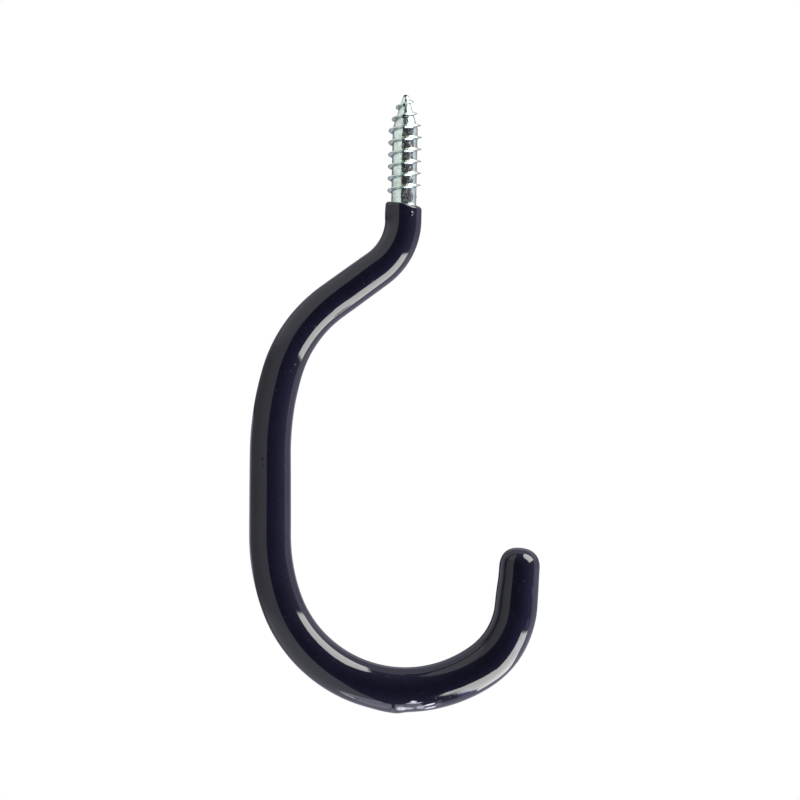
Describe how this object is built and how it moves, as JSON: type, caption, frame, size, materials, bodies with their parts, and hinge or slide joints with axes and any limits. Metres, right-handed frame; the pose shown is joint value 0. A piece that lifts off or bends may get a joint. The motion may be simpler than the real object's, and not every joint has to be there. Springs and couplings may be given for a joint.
{
  "type": "bike hook",
  "caption": "Screw-in storage hook: a bent steel rod with a wood-screw thread on top and a soft vinyl coating round its deep open bowl, for hanging a bicycle by its wheel.",
  "frame": {"origin": "on the screw axis, at the top edge of the vinyl, where the hook stops against the wood", "axes": "+Z along the screw towards its point, +X from the back of the hook towards its mouth, the bends in the XZ plane"},
  "size_m": [0.0691, 0.0104, 0.146],
  "materials": {
    "zinc_plate": "bright zinc plate",
    "navy_vinyl": "glossy dipped vinyl"
  },
  "bodies": {
    "root": {"steel_rod": "zinc_plate", "vinyl_coating": "navy_vinyl"}
  },
  "joints": []
}
